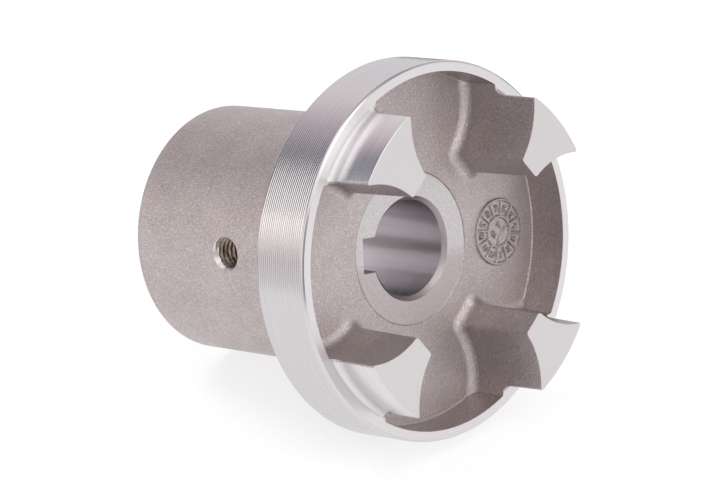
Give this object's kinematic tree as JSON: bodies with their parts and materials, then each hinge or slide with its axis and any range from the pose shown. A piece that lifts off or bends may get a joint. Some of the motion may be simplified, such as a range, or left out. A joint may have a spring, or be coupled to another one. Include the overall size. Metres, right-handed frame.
{
  "type": "pump drive coupling half",
  "caption": "Motor-side half of a jaw coupling: a keyed hub with a recessed flange whose jaws drive a flexible element.",
  "frame": {"origin": "centre of the hub's back face, on the bore's axis", "axes": "+Z along the bore towards the jaws, -Y towards the keyway and the set screw, jaws on the diagonals"},
  "size_m": [0.086, 0.086, 0.0815],
  "materials": {
    "aluminium": "blasted cast skin, with turned and faced surfaces on the rim, the jaws and the bore"
  },
  "bodies": {
    "root": {"coupling_half": "aluminium"}
  },
  "joints": []
}
